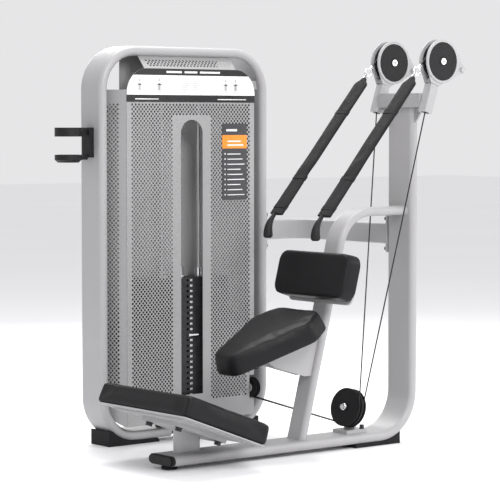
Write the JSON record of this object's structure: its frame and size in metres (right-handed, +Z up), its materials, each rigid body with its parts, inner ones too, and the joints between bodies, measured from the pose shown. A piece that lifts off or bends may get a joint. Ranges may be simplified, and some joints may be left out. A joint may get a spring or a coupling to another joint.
{
  "type": "ab crunch machine",
  "caption": "Seated abdominal crunch machine: tilted seat and footrest on a tubular frame, shoulder straps on swivel pulleys, and a cable-driven weight tower.",
  "frame": {"origin": "on the floor, under the centre of the machine's bounding box", "axes": "+Z up; the user sits facing -X; +Y runs from the seat to the weight tower"},
  "size_m": [1.4168, 0.935, 1.525],
  "materials": {
    "frame_paint": "satin silver-grey powder coat",
    "shroud_paint": "satin silver-grey powder coat on perforated sheet",
    "black_rubber": "matte",
    "black_plastic": "fine moulded grain",
    "pulley_plastic": "smooth moulded nylon",
    "pad_vinyl": "charcoal upholstery vinyl with a fine grain",
    "black_steel": "satin black",
    "chrome_steel": "polished",
    "cable_jacket": "smooth black nylon jacket",
    "strap_fabric": "black woven nylon",
    "grip_rubber": "soft black",
    "placard_print": "white panel between two black bands",
    "label_print": "dark grey label with an orange band"
  },
  "bodies": {
    "root": {"main_frame": "frame_paint", "front_end_cap": "black_plastic", "front_foot": "black_rubber", "rear_foot": "black_rubber", "seat_upright": "frame_paint", "seat_bracket": "frame_paint", "seat_base_plate": "frame_paint", "seat_pad": "pad_vinyl", "backrest_plate": "frame_paint", "backrest_pad": "pad_vinyl", "footrest_column": "frame_paint", "footrest_tray": "frame_paint", "footrest_frame": "frame_paint", "footrest_pad": "pad_vinyl", "frame_bolts": "black_steel", "tower_loop": "frame_paint", "tower_feet": "black_rubber", "tower_base_joint": "frame_paint", "crossbeam": "frame_paint", "front_panel": "shroud_paint", "left_side_panel": "shroud_paint", "right_side_panel": "shroud_paint", "top_panel": "shroud_paint", "rear_panel": "shroud_paint", "header_placard": "placard_print", "instruction_plate": "label_print", "guide_rods": "chrome_steel", "stack_bumpers": "black_rubber", "resting_plates": "black_steel", "bottle_holder": "black_plastic", "lower_pulley_bracket": "frame_paint", "tower_pulley_brackets": "frame_paint", "pulley_axles": "black_steel", "top_crossbar": "frame_paint", "pulley_stems": "frame_paint", "drive_cables": "cable_jacket"},
    "stack": {"head_plate": "black_steel", "lifted_plates": "black_steel", "selector_rod": "chrome_steel", "guide_bushings": "chrome_steel", "stack_cable": "cable_jacket"},
    "pin": {"selector_pin": "chrome_steel"},
    "left_swivel": {"left_pulley_housing": "frame_paint", "left_cable_top": "cable_jacket"},
    "left_pulley": {"left_top_pulley": "pulley_plastic"},
    "left_strap": {"left_strap_clip": "chrome_steel", "left_strap": "strap_fabric", "left_handle": "grip_rubber"},
    "left_low_pulley": {"left_lower_pulley": "pulley_plastic"},
    "right_swivel": {"right_pulley_housing": "frame_paint", "right_cable_top": "cable_jacket"},
    "right_pulley": {"right_top_pulley": "pulley_plastic"},
    "right_strap": {"right_strap_clip": "chrome_steel", "right_strap": "strap_fabric", "right_handle": "grip_rubber"},
    "right_low_pulley": {"right_lower_pulley": "pulley_plastic"},
    "exit_pulley": {"tower_exit_pulley": "pulley_plastic"},
    "corner_pulley": {"tower_corner_pulley": "pulley_plastic"},
    "centre_pulley": {"tower_centre_pulley": "pulley_plastic"}
  },
  "joints": [
    {"name": "stack_lift", "type": "slide", "parent": "root", "child": "stack", "axis": [0, 0, 1], "range_m": [0, 0.3], "deforming": ["stack_cable"]},
    {"name": "selector_pin_pull", "type": "slide", "parent": "stack", "child": "pin", "axis": [0, -1, 0], "range_m": [0, 0.065]},
    {"name": "left_swivel_turn", "type": "hinge", "parent": "root", "child": "left_swivel", "pos_m": [0.55447, -0.3375, 1.35601], "axis": [0.314, 0, 0.9494], "range_deg": [-5, 20]},
    {"name": "left_strap_pull", "type": "slide", "parent": "left_swivel", "child": "left_strap", "axis": [-0.6534, 0, -0.757], "range_m": [0, 0.3]},
    {"name": "left_top_pulley_spin", "type": "hinge", "parent": "left_swivel", "child": "left_pulley", "pos_m": [0.5914, -0.3375, 1.443], "axis": [0, -1, 0], "range_deg": [0, 285.1]},
    {"name": "left_lower_pulley_spin", "type": "hinge", "parent": "root", "child": "left_low_pulley", "pos_m": [0.26911, -0.20156, 0.14386], "axis": [-0.9693, -0.099, 0.225], "range_deg": [0, 277.3]},
    {"name": "right_swivel_turn", "type": "hinge", "parent": "root", "child": "right_swivel", "pos_m": [0.55447, -0.0675, 1.35601], "axis": [0.314, 0, 0.9494], "range_deg": [-20, 5]},
    {"name": "right_strap_pull", "type": "slide", "parent": "right_swivel", "child": "right_strap", "axis": [-0.6534, 0, -0.757], "range_m": [0, 0.3]},
    {"name": "right_top_pulley_spin", "type": "hinge", "parent": "right_swivel", "child": "right_pulley", "pos_m": [0.5914, -0.0675, 1.443], "axis": [0, -1, 0], "range_deg": [0, 285.1]},
    {"name": "right_lower_pulley_spin", "type": "hinge", "parent": "root", "child": "right_low_pulley", "pos_m": [0.25069, -0.20344, 0.14814], "axis": [-0.9693, -0.099, 0.225], "range_deg": [0, 277.3]},
    {"name": "exit_pulley_spin", "type": "hinge", "parent": "root", "child": "exit_pulley", "pos_m": [0.2074, 0.3115, 0.178], "axis": [-0.9948, -0.1016, 0], "range_deg": [0, 505.6]},
    {"name": "corner_pulley_spin", "type": "hinge", "parent": "root", "child": "corner_pulley", "pos_m": [0.1639, 0.3275, 1.36], "axis": [0.1754, 0.9845, 0], "range_deg": [0, 505.6]},
    {"name": "centre_pulley_spin", "type": "hinge", "parent": "root", "child": "centre_pulley", "pos_m": [-0.0611, 0.3675, 1.36], "axis": [0.1754, 0.9845, 0], "range_deg": [0, 505.6]}
  ],
  "couplings": [
    {"joint": "left_strap_pull", "follows": "stack_lift", "ratio": 1},
    {"joint": "left_top_pulley_spin", "follows": "stack_lift", "rad_per_m": 16.584},
    {"joint": "left_lower_pulley_spin", "follows": "stack_lift", "rad_per_m": 16.129},
    {"joint": "right_strap_pull", "follows": "stack_lift", "ratio": 1},
    {"joint": "right_top_pulley_spin", "follows": "stack_lift", "rad_per_m": 16.584},
    {"joint": "right_lower_pulley_spin", "follows": "stack_lift", "rad_per_m": 16.129},
    {"joint": "exit_pulley_spin", "follows": "stack_lift", "rad_per_m": 29.412},
    {"joint": "corner_pulley_spin", "follows": "stack_lift", "rad_per_m": 29.412},
    {"joint": "centre_pulley_spin", "follows": "stack_lift", "rad_per_m": 29.412}
  ]
}
